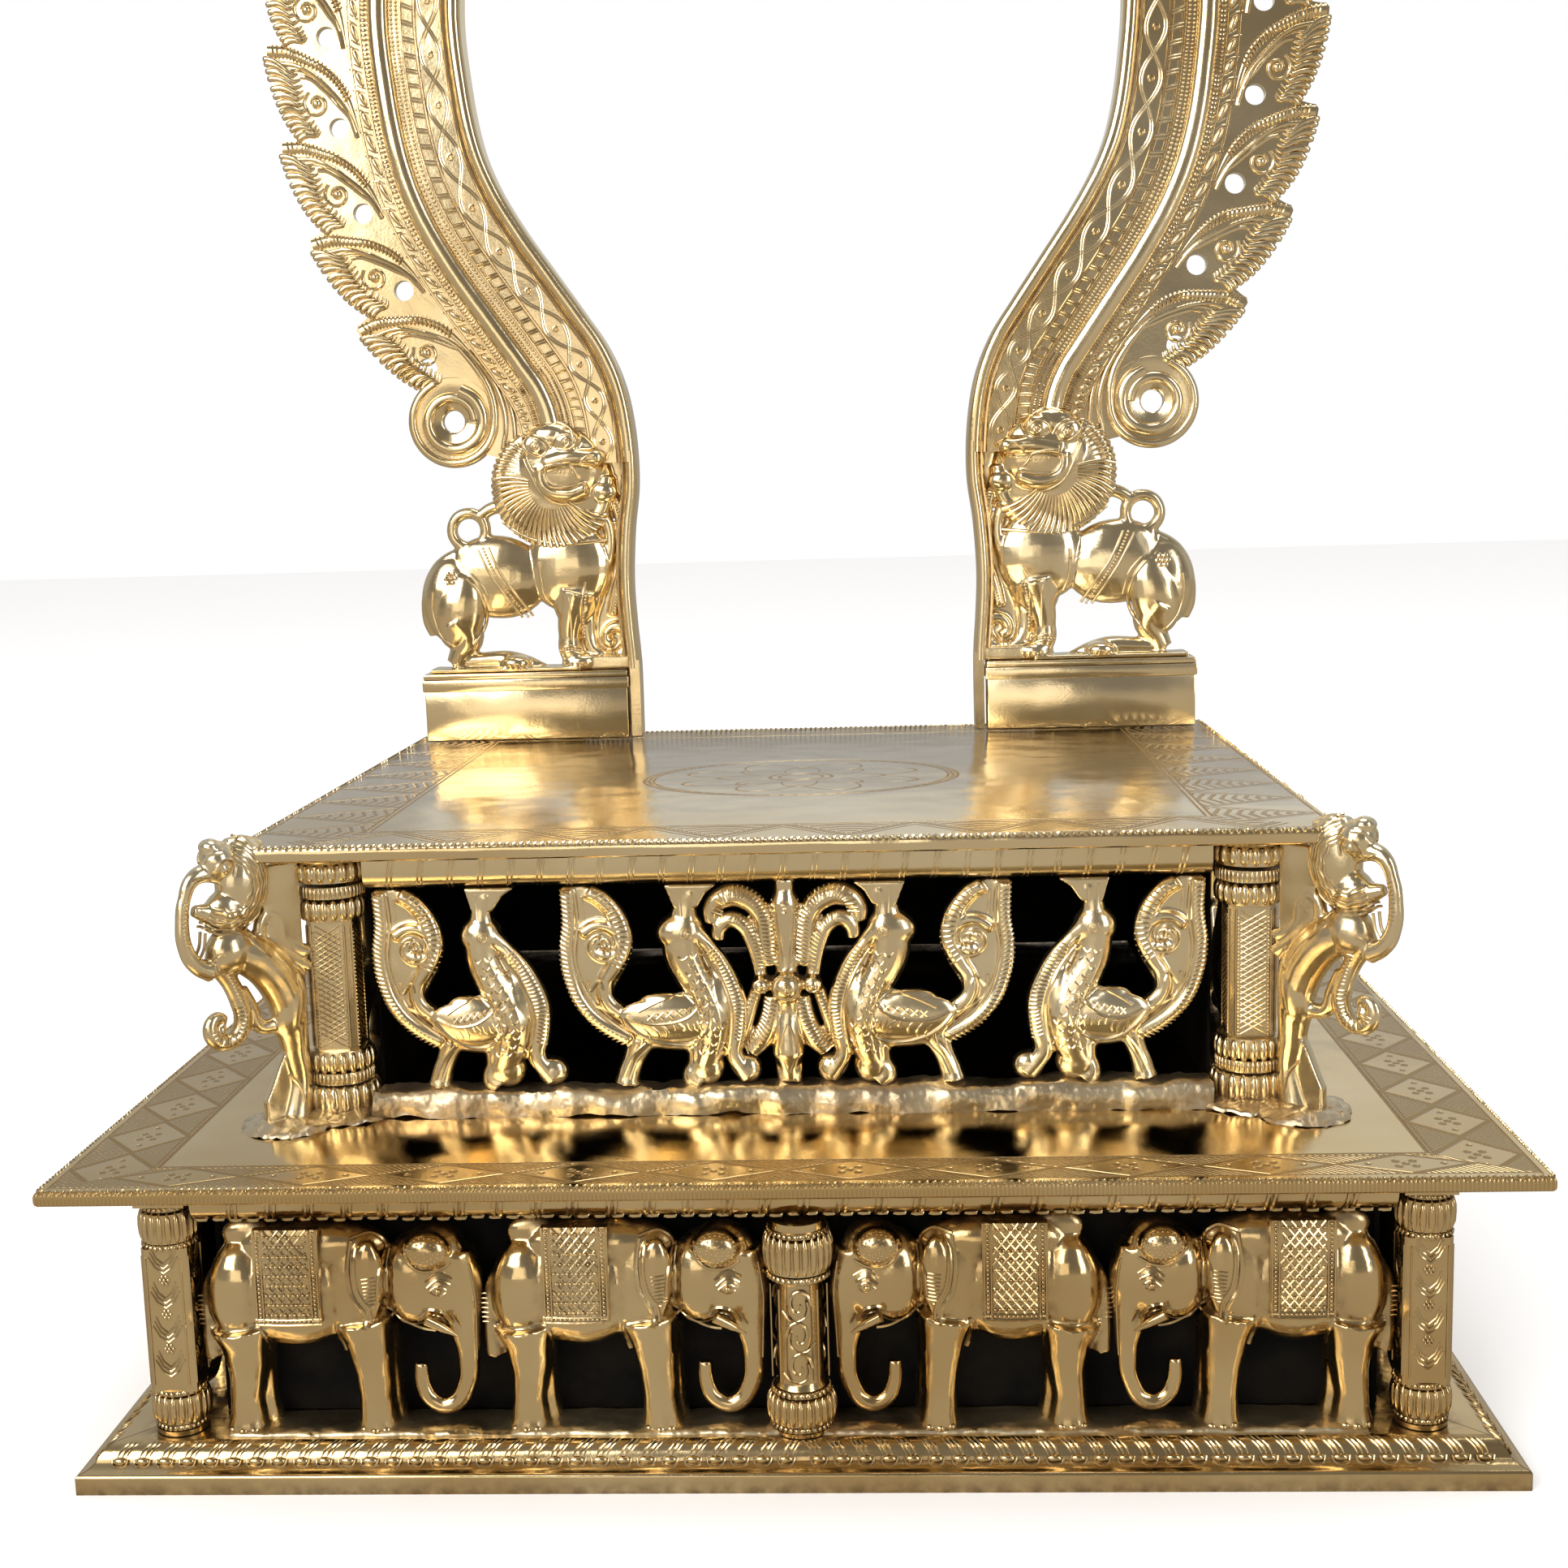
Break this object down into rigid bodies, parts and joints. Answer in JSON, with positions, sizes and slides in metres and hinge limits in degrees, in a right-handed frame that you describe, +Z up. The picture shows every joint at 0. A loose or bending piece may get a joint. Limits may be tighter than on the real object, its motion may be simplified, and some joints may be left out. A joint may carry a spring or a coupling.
{
  "type": "deity simhasan throne",
  "caption": "Brass household deity throne with stepped tiers of pierced animal friezes, a polished seat and a lift-out leafed arch on lion feet.",
  "frame": {"origin": "middle of the underside of the plinth", "axes": "+X to the right seen from the front, +Y towards the arch at the back, +Z up"},
  "size_m": [0.3822, 0.324, 0.6638],
  "materials": {
    "polished_brass": "mirror polished, engraved borders",
    "cast_brass": "cast and buffed, dull solder in the recesses",
    "warm_brass": "cast and buffed, warm tone, tarnished recesses",
    "dark_lining": "matt black"
  },
  "bodies": {
    "base": {"plinth_front": "cast_brass", "plinth_back": "cast_brass", "plinth_left": "cast_brass", "plinth_right": "cast_brass", "floor_plate": "warm_brass", "lower_pillar_front_left": "warm_brass", "lower_pillar_front_right": "warm_brass", "lower_pillar_back_left": "warm_brass", "lower_pillar_back_right": "warm_brass", "lower_pillar_front_centre": "warm_brass", "lower_rail_front": "warm_brass", "lower_rail_left": "warm_brass", "lower_rail_right": "warm_brass", "elephant_front_1": "warm_brass", "elephant_front_2": "warm_brass", "elephant_front_3": "warm_brass", "elephant_front_4": "warm_brass", "elephant_left_1": "warm_brass", "elephant_left_2": "warm_brass", "elephant_left_3": "warm_brass", "elephant_right_1": "warm_brass", "elephant_right_2": "warm_brass", "elephant_right_3": "warm_brass", "liner_front": "dark_lining", "liner_left": "dark_lining", "liner_right": "dark_lining", "lower_back_panel": "warm_brass", "ledge_plate": "polished_brass", "upper_pillar_front_left": "cast_brass", "upper_pillar_front_right": "cast_brass", "upper_pillar_back_left": "cast_brass", "upper_pillar_back_right": "cast_brass", "upper_rail_front": "cast_brass", "upper_rail_left": "cast_brass", "upper_rail_right": "cast_brass", "upper_sill_front": "cast_brass", "upper_sill_left": "cast_brass", "upper_sill_right": "cast_brass", "swan_front_1": "cast_brass", "swan_front_2": "cast_brass", "swan_front_3": "cast_brass", "swan_front_4": "cast_brass", "swan_left_1": "cast_brass", "swan_left_2": "cast_brass", "swan_right_1": "cast_brass", "swan_right_2": "cast_brass", "lotus_front": "cast_brass", "lotus_left": "cast_brass", "lotus_right": "cast_brass", "upper_back_panel": "cast_brass", "beast_bracket_right": "cast_brass", "beast_bracket_left": "cast_brass", "seat_plate": "polished_brass"},
    "arch": {"arch_foot_left": "cast_brass", "arch_foot_right": "cast_brass", "lion_left": "cast_brass", "lion_right": "cast_brass", "arch_arm_left": "polished_brass", "arch_arm_right": "polished_brass", "arch_crest": "cast_brass"}
  },
  "joints": [
    {"name": "arch_lift", "type": "slide", "parent": "base", "child": "arch", "axis": [0, 0, 1], "range_m": [0, 0.03]}
  ]
}
